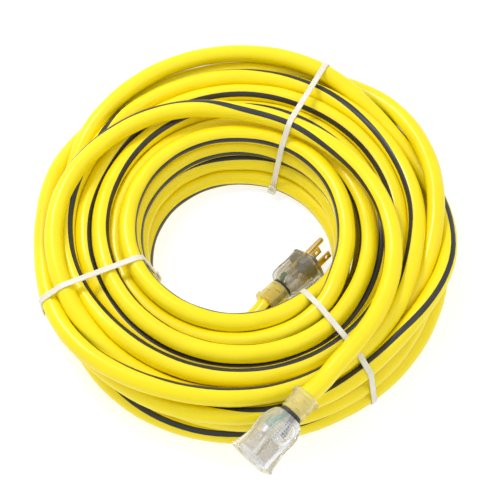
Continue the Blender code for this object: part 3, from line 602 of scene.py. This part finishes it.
def make_tie(name, degrees, first_turn, head_height):
    """A strap round the coil, and on its inner run the head, with the cut end and its teeth."""
    path = tie_section(degrees, first_turn)
    turn = math.radians(degrees)
    out = Vector((math.cos(turn), math.sin(turn), 0))
    side = Vector((-math.sin(turn), math.cos(turn), 0))
    up = Vector((0, 0, 1))
    middle = Vector(CENTRE)
    forward = np.roll(path, -1, 0) - np.roll(path, 1, 0)
    forward /= np.linalg.norm(forward, axis=1)[:, None]
    normal = np.stack([forward[:, 1], -forward[:, 0]], 1)
    section = strap_section()
    points = [middle + out * (r + nr * lift) + up * (z + nz * lift) + side * across
              for (r, z), (nr, nz) in zip(path, normal) for across, lift in section]
    n, m = len(path), len(section)
    faces = skin(n, m)
    faces += [((n - 1) * m + k, (n - 1) * m + (k + 1) % m, (k + 1) % m, k) for k in range(m)]
    tie = from_faces(name, points, faces, NYLON)
    shape = bmesh.new()
    shape.from_mesh(tie.data)
    bmesh.ops.recalc_face_normals(shape, faces=shape.faces)
    inner = [i for i in range(n) if path[i, 0] < path[:, 0].min() + HEAD_REACH
             and HEAD_HEIGHTS[0] < path[i, 1] < HEAD_HEIGHTS[1]]
    head = min(inner, key=lambda i: abs(path[i, 1] - head_height))
    along = (out * forward[head, 0] + up * forward[head, 1]).normalized()
    if along.z < 0:
        along = -along
    outward = (out * normal[head, 0] + up * normal[head, 1]).normalized()
    place = Matrix((along.cross(outward), along, outward)).transposed().to_4x4()
    place.translation = middle + out * path[head, 0] + up * path[head, 1]
    block(shape, place, TIE_HEAD, HEAD_AT, 0.0007)
    block(shape, place, TIE_END, END_AT, 0.0003)
    x, y, z = FIRST_TOOTH_AT
    for tooth in range(TIE_TEETH):
        block(shape, place, TIE_TOOTH, (x, y + TOOTH_PITCH * tooth, z), 0.0001)
    shape.to_mesh(tie.data)
    shape.free()
    tie.data.shade_smooth()
    tie.data.set_sharp_from_angle(angle=math.radians(40))
    return tie


for number, tie_plan in enumerate(TIES, 1):
    tie = make_tie(f"nylon_tie_{number}", *tie_plan)
    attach(tie, "root")
    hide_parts(f"cable_tie_{number}")


# The moulded pieces of the plug and the connector
def frame_on(origin, axis, roll):
    """A frame with +Z along the axis and +Y turned by roll from the most upright direction."""
    upright = (Vector((0, 0, 1)) - axis * axis.z).normalized()
    side = upright.cross(axis)
    y = upright * math.cos(roll) + side * math.sin(roll)
    x = y.cross(axis)
    place = Matrix((x, y, axis)).transposed().to_4x4()
    place.translation = origin
    return place


PLUG_FRAME = frame_on(PLUG_FACE, PLUG_AXIS, PLUG_ROLL)
CONNECTOR_FRAME = frame_on(CONNECTOR_REAR + CONNECTOR_AXIS * CONNECTOR_LENGTH, CONNECTOR_AXIS,
                           CONNECTOR_ROLL)


def ring_of(half_x, half_y, offset_y, exponent, columns):
    """Points of superelliptic sections, one row for each section."""
    a = 2 * math.pi * np.arange(columns) / columns
    power = 2 / exponent[:, None]
    x = half_x[:, None] * np.sign(np.cos(a)) * np.abs(np.cos(a)) ** power
    y = half_y[:, None] * np.sign(np.sin(a)) * np.abs(np.sin(a)) ** power
    return x, y + offset_y[:, None]


# A bore has BORE_FINE rows for each section given. In a grip's patch, one in GRIP_LINE_EVERY rows
# and columns of faces takes the grip's second finish, painted shade that draws the ridges, and so
# does a ring GRIP_EDGE to either side of the patch's edge, painted shade for the rim. A point is on
# a wide face where its X is more than WIDE_FACE times its Y.
BORE_FINE = 4
GRIP_LINE_EVERY = 3
GRIP_EDGE = 0.0005
WIDE_FACE = 0.9


def moulded_shell(name, frame, outer, inner, carve, *materials, fine=8, columns=200, cap=True,
                  grip=None):
    """A hollow moulding, open at the rear. outer and inner hold (height, half width in X, half
    width in Y, offset in Y, exponent) from rear to front, and carve(x, y, z) says how far the
    outer surface moves outwards. With cap, the front is closed; without, it is an open mouth.
    grip holds the height and the radius of the patches whose lines and rim take the second finish,
    painted shade."""
    table = np.array(outer, float)
    z, half_x, half_y, offset, exponent = (finer(column, fine) for column in table.T)
    x, y = ring_of(half_x, half_y, offset, exponent, columns)
    z = np.repeat(z[:, None], columns, 1)
    reach = np.hypot(x, y - offset[:, None])
    move = carve(x, y, z)
    x, y = x * (1 + move / reach), y + (y - offset[:, None]) * move / reach
    outside = np.stack([x, y, z], 2).reshape(-1, 3)
    table = np.array(inner, float)
    iz, half_x, half_y, offset, exponent = (finer(column, BORE_FINE) for column in table.T)
    x, y = ring_of(half_x, half_y, offset, exponent, columns)
    inside = np.stack([x, y, np.repeat(iz[:, None], columns, 1)], 2).reshape(-1, 3)
    rows, inner_rows = len(z), len(iz)
    first = len(outside)
    faces = skin(rows, columns)
    faces += [tuple(first + v for v in face) for face in skin(inner_rows, columns)]
    faces += [(k, (k + 1) % columns, first + (k + 1) % columns, first + k) for k in range(columns)]
    last, inner_last = (rows - 1) * columns, first + (inner_rows - 1) * columns
    if cap:
        faces.append(tuple(range(last, last + columns)))
        faces.append(tuple(range(inner_last, inner_last + columns)))
    else:
        faces += [(last + k, last + (k + 1) % columns, inner_last + (k + 1) % columns,
                   inner_last + k) for k in range(columns)]
    points = np.concatenate([outside, inside])
    obj = from_faces(name, [frame @ Vector(p) for p in points], faces, *materials)
    face_outwards(obj.data)
    if grip:
        for face in obj.data.polygons[:(rows - 1) * columns]:
            x, y, z = points[list(face.vertices)].mean(0)
            away = math.hypot(y, z - grip[0])
            row, column = divmod(face.index, columns)
            line = row % GRIP_LINE_EVERY == 0 or column % GRIP_LINE_EVERY == 0
            edge = abs(away - grip[1]) < GRIP_EDGE
            patch = edge or (line and away < grip[1])
            face.material_index = int(patch and abs(x) > WIDE_FACE * abs(y))
    obj.data.set_sharp_from_angle(angle=math.radians(38))
    return obj


def smooth_step(values, low, high):
    """0 below low, 1 above high, and a smooth rise between them."""
    t = np.clip((values - low) / (high - low), 0, 1)
    return t * t * (3 - 2 * t)


# A thumb grip's shape: shares of its radius where the dish's floor ends, the raised rim is, and the
# lines fade out, the rim's width, and shares of its depth for the rim and the lines.
DISH_FLOOR = 0.80
RIM_AT, RIM_WIDTH, RIM_HEIGHT = 1.06, 0.0006, 0.25
LINES_FADE = (0.70, 0.82)
LINE_HEIGHT = 0.45


def ridge(values, centre, width, height):
    """A rounded ridge, or a groove where the height is negative."""
    return height * np.exp(-((values - centre) / width) ** 2)


def thumb_grip(x, y, z, centre_z, radius, depth, pitch):
    """A round dimple with a crossed pattern of fine ridges, on both wide faces."""
    away = np.hypot(y, z - centre_z)
    dish = -depth * (1 - smooth_step(away, radius * DISH_FLOOR, radius))
    rim = ridge(away, radius * RIM_AT, RIM_WIDTH, RIM_HEIGHT * depth)
    lines = np.maximum(np.cos(math.pi * y / pitch) ** 4, np.cos(math.pi * z / pitch) ** 4)
    inside = 1 - smooth_step(away, radius * LINES_FADE[0], radius * LINES_FADE[1])
    facing = np.abs(x) > np.abs(y) * WIDE_FACE
    return np.where(facing, dish + rim + LINE_HEIGHT * depth * lines * inside, 0)


def corners(x, y, low, high):
    """1 at the corners of a section, and 0 along its sides."""
    return smooth_step(np.minimum(np.abs(x), np.abs(y)), low, high)


# The connector's body. Heights run from the rear, which is at C_REAR, to the mouth at 0. Ridges and
# grooves are (height along the body, width, rise).
C_REAR = -CONNECTOR_LENGTH
C_GRIP = C_REAR + 0.0145
C_GRIP_PATCH = 0.0088
C_RIM = (-0.0012, 0.0008, 0.0004)
C_GROOVE = (-0.0052, 0.0004, -0.0003)
C_CORNER_RISE = 0.0007


def carve_connector(x, y, z):
    grip = thumb_grip(x, y, z, C_GRIP, radius=0.0095, depth=0.0011, pitch=0.0019)
    rims = ridge(z, *C_RIM) + ridge(z, *C_GROOVE)
    rise = smooth_step(z, C_REAR + 0.004, C_REAR + 0.012)
    return grip + rims + C_CORNER_RISE * corners(x, y, 0.0085, 0.0115) * rise


CONNECTOR_SHELL = moulded_shell("connector_shell", CONNECTOR_FRAME, [
    (C_REAR, 0.0108, 0.0106, 0.0, 2.4),
    (C_REAR + 0.0010, 0.0124, 0.0118, 0.0, 2.6),
    (C_REAR + 0.0040, 0.0146, 0.0132, 0.0, 2.9),
    (C_REAR + 0.0090, 0.0155, 0.0144, 0.0, 3.2),
    (C_REAR + 0.0150, 0.0156, 0.0147, 0.0, 3.4),
    (C_REAR + 0.0210, 0.0150, 0.0142, 0.0, 3.6),
    (C_REAR + 0.0270, 0.0146, 0.0140, 0.0, 3.9),
    (C_REAR + 0.0340, 0.0150, 0.0146, 0.0, 4.2),
    (C_REAR + 0.0390, 0.0157, 0.0156, 0.0, 4.4),
    (-0.0012, 0.0162, 0.0160, 0.0, 4.4),
    (0.0, 0.0158, 0.0156, 0.0, 4.4),
], [
    (C_REAR, 0.0085, 0.0083, 0.0, 2.2),
    (C_REAR + 0.0040, 0.0118, 0.0106, 0.0, 2.5),
    (C_REAR + 0.0120, 0.0132, 0.0123, 0.0, 2.8),
    (C_REAR + 0.0200, 0.0129, 0.0124, 0.0, 2.8),
    (-0.0120, 0.0126, 0.0126, 0.0, 2.1),
    (-0.0060, 0.0126, 0.0126, 0.0, 2.0),
    (0.0, 0.0126, 0.0126, 0.0, 2.0),
], carve_connector, FROSTED, GRIP_PAINTED_SHADE, cap=False, grip=(C_GRIP, C_GRIP_PATCH))

# The plug's body, in the same way, with its face at 0
P_REAR = -PLUG_LENGTH
P_GRIP = P_REAR + 0.0130
P_RIM = (-0.0014, 0.0007, 0.0003)
P_GROOVE = (-0.0048, 0.0004, -0.0003)
P_CORNER_RISE = 0.0006


def carve_plug(x, y, z):
    grip = thumb_grip(x, y, z, P_GRIP, radius=0.0088, depth=0.0010, pitch=0.0018)
    rims = ridge(z, *P_RIM) + ridge(z, *P_GROOVE)
    return grip + rims + P_CORNER_RISE * corners(x, y, 0.0078, 0.0105)


PLUG_SHELL = moulded_shell("plug_shell", PLUG_FRAME, [
    (P_REAR, 0.0106, 0.0104, 0.0, 2.4),
    (P_REAR + 0.0012, 0.0126, 0.0122, 0.0, 2.6),
    (P_REAR + 0.0050, 0.0144, 0.0128, -0.0006, 2.9),
    (P_REAR + 0.0110, 0.0151, 0.0129, -0.0010, 3.1),
    (P_REAR + 0.0170, 0.0143, 0.0123, -0.0009, 3.4),
    (P_REAR + 0.0230, 0.0139, 0.0119, -0.0007, 3.8),
    (P_REAR + 0.0290, 0.0142, 0.0118, -0.0005, 4.2),
    (-0.0010, 0.0144, 0.0118, -0.0004, 4.4),
    (0.0, 0.0140, 0.0114, -0.0004, 4.4),
], [
    (P_REAR, 0.0083, 0.0081, 0.0, 2.2),
    (P_REAR + 0.0050, 0.0121, 0.0105, -0.0006, 2.6),
    (P_REAR + 0.0140, 0.0126, 0.0106, -0.0010, 3.0),
    (P_REAR + 0.0230, 0.0119, 0.0100, -0.0007, 3.6),
    (-0.0024, 0.0122, 0.0100, -0.0004, 4.2),
], carve_plug, SHADED_VINYL)


# The strain reliefs: a flange at the cord's end, and rows of windows, four to a row, each row turned
# on from the one before. Window sizes are (half size of the floor, half size of the opening).
FLANGE_LENGTH = 0.0045
BORE = RADIUS + 0.00035
WINDOW_ROWS = 3
WINDOW_FIRST = 0.0034
WINDOW_PITCH = 0.0040
WINDOW_DEPTH = 0.0013
WINDOW_ACROSS = (0.0022, 0.0034)
WINDOW_ALONG = (0.0005, 0.0013)
WINDOW_RADIUS = 0.0104
QUARTER = math.pi / 2
# Grooves of the black ring between relief and body, which is partly the black conductors in that gap
# and partly painted shade.
GAP_SHADE_GROOVES = 12
GAP_SHADE_GROOVE_WIDTH = 0.2
GAP_SHADE_GROOVE_DEPTH = 0.0003


def make_sleeve(name, frame, rear, gap_shade_length, material):
    """A clear strain relief with a wide flange at the cord's end and staggered windows, and a
    grooved
    black ring between it and the body: the black conductors in the gap there, with the gap's shade
    painted in."""
    start = rear - GAP - RELIEF_LENGTH
    end = rear - gap_shade_length
    flange = start + FLANGE_LENGTH

    def windows(x, y, z):
        turn = np.arctan2(y, x)
        cut = np.zeros_like(x)
        for row in range(WINDOW_ROWS):
            height = flange + WINDOW_FIRST + row * WINDOW_PITCH
            beside = np.abs((turn + QUARTER / 2 * row + QUARTER / 2) % QUARTER - QUARTER / 2)
            across = 1 - smooth_step(beside * WINDOW_RADIUS, *WINDOW_ACROSS)
            along = 1 - smooth_step(np.abs(z - height), *WINDOW_ALONG)
            cut -= WINDOW_DEPTH * across * along
        return cut

    def grooves(x, y, z):
        wave = np.abs(np.sin(GAP_SHADE_GROOVES / 2 * np.arctan2(y, x)))
        return ridge(wave, 0, GAP_SHADE_GROOVE_WIDTH, -GAP_SHADE_GROOVE_DEPTH)

    def round_rows(*rows):
        return [(height, radius, radius, 0.0, 2.0) for height, radius in rows]

    sleeve = moulded_shell(name, frame, round_rows(
        (start, 0.0105), (start + 0.0010, 0.0117), (flange - 0.0008, 0.0117), (flange, 0.0106),
        (flange + 0.0060, 0.0103), (end - 0.0040, 0.0100), (end - 0.0006, 0.0099), (end, 0.0094),
    ), round_rows((start, BORE), (start + 0.0100, BORE), (end, BORE)), windows, material, fine=10,
        columns=128, cap=False)
    # The black ring: the gap's black conductors, with the gap's shade painted in.
    gap_shade = moulded_shell(name + "_gap_shade", frame, round_rows(
        (end + 0.0002, 0.0088), (end + 0.0009, 0.0094), (rear - 0.0012, 0.0094),
        (rear - 0.0004, 0.0089),
    ), round_rows((end + 0.0002, BORE), (end + 0.0012, BORE), (rear - 0.0004, BORE)), grooves,
        BLACK_WIRE, fine=5, columns=96, cap=False)
    return sleeve, gap_shade


CONNECTOR_SLEEVE, CONNECTOR_GAP_SHADE = make_sleeve(
    "connector_sleeve", CONNECTOR_FRAME, C_REAR, 0.0036, FROSTED_SLEEVE)
PLUG_SLEEVE, PLUG_GAP_SHADE = make_sleeve("plug_sleeve", PLUG_FRAME, P_REAR, 0.0026, SHADED_SLEEVE)
for piece, slot in ((CONNECTOR_SHELL, "clear_frosted_vinyl"), (PLUG_SHELL, "clear_smoky_vinyl"),
                    (CONNECTOR_SLEEVE, "clear_frosted_vinyl"), (PLUG_SLEEVE, "clear_smoky_vinyl"),
                    (CONNECTOR_GAP_SHADE, "black_insulation"), (PLUG_GAP_SHADE, "black_insulation")):
    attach(piece, "root")
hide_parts("connector_body")
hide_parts("plug_body")
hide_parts("connector_strain_relief")
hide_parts("plug_strain_relief")

# Finishes of the model's own nodes, from the last word of their names
WIRES = {"line": BLACK_WIRE, "neutral": WHITE_WIRE, "ground": GREEN_WIRE}
FINISHES = {"face": FROSTED, "bridge": BRIDGE, "carrier": CARRIER, "blade": BRASS, "pin": BRASS,
            "contact": BRASS, "crimp": TIN, "copper": COPPER, "lamp": LAMP, "resistor": RESISTOR}
REPLACED = ("cord_coil", "connector_tail", "plug_tail", "cable_tie_1", "cable_tie_2", "cable_tie_3",
            "connector_body", "plug_body", "connector_strain_relief", "plug_strain_relief")


def model_finish(name):
    *_, which, last = name.split("_")
    return WIRES[which] if last == "conductor" else FINISHES[last]


for name in frame["nodes"]:
    if name in REPLACED:
        continue
    for place in bpy.data.objects[name].material_slots:
        place.material = model_finish(name)

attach(cord, "root")
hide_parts("cord_coil", "connector_tail", "plug_tail")

# Floor, light and camera
FLOOR_DROP = 0.0003
CAMERA_PLACE = (0.0, -0.4853, 0.9880)
CAMERA_TILT = math.radians(27.5)

bpy.ops.mesh.primitive_plane_add(size=12)
floor = bpy.context.object
floor.name = "floor"
floor.data.materials.append(finish("white_sweep", (0.42, 0.42, 0.43), (0.43, 0.43, 0.44), 0.7, 0.0,
                                   Emission_Color=(1, 1, 1, 1), Emission_Strength=0.66))
floor.location.z = -FLOOR_DROP

world = bpy.data.worlds.new("studio")
world.use_nodes = True
world.node_tree.nodes["Background"].inputs["Color"].default_value = (1.0, 1.0, 1.0, 1)
world.node_tree.nodes["Background"].inputs["Strength"].default_value = 0.86
bpy.context.scene.world = world


def area_light(name, place, size, power):
    """A round light that points at the middle of the floor."""
    light = bpy.data.lights.new(name, "AREA")
    light.shape = "DISK"
    light.size = size
    light.energy = power
    lamp = bpy.data.objects.new(name, light)
    bpy.context.scene.collection.objects.link(lamp)
    lamp.location = place
    lamp.rotation_euler = (-Vector(place)).to_track_quat("-Z", "Y").to_euler()


area_light("key_light", (-0.55, 0.55, 1.15), 0.36, 7.4)
area_light("fill_light", (0.65, -0.15, 1.25), 0.8, 1.5)

camera_data = bpy.data.cameras.new("camera")
camera_data.sensor_width = 36.0
camera_data.lens = 92.9
camera_data.shift_x = 0.014
camera_data.shift_y = -0.020
camera_data.clip_start = 0.05
camera = bpy.data.objects.new("camera", camera_data)
camera.location = CAMERA_PLACE
camera.rotation_euler = (CAMERA_TILT, 0.0, 0.0)
bpy.context.scene.collection.objects.link(camera)
bpy.context.scene.camera = camera
bpy.context.scene.view_settings.view_transform = "Standard"
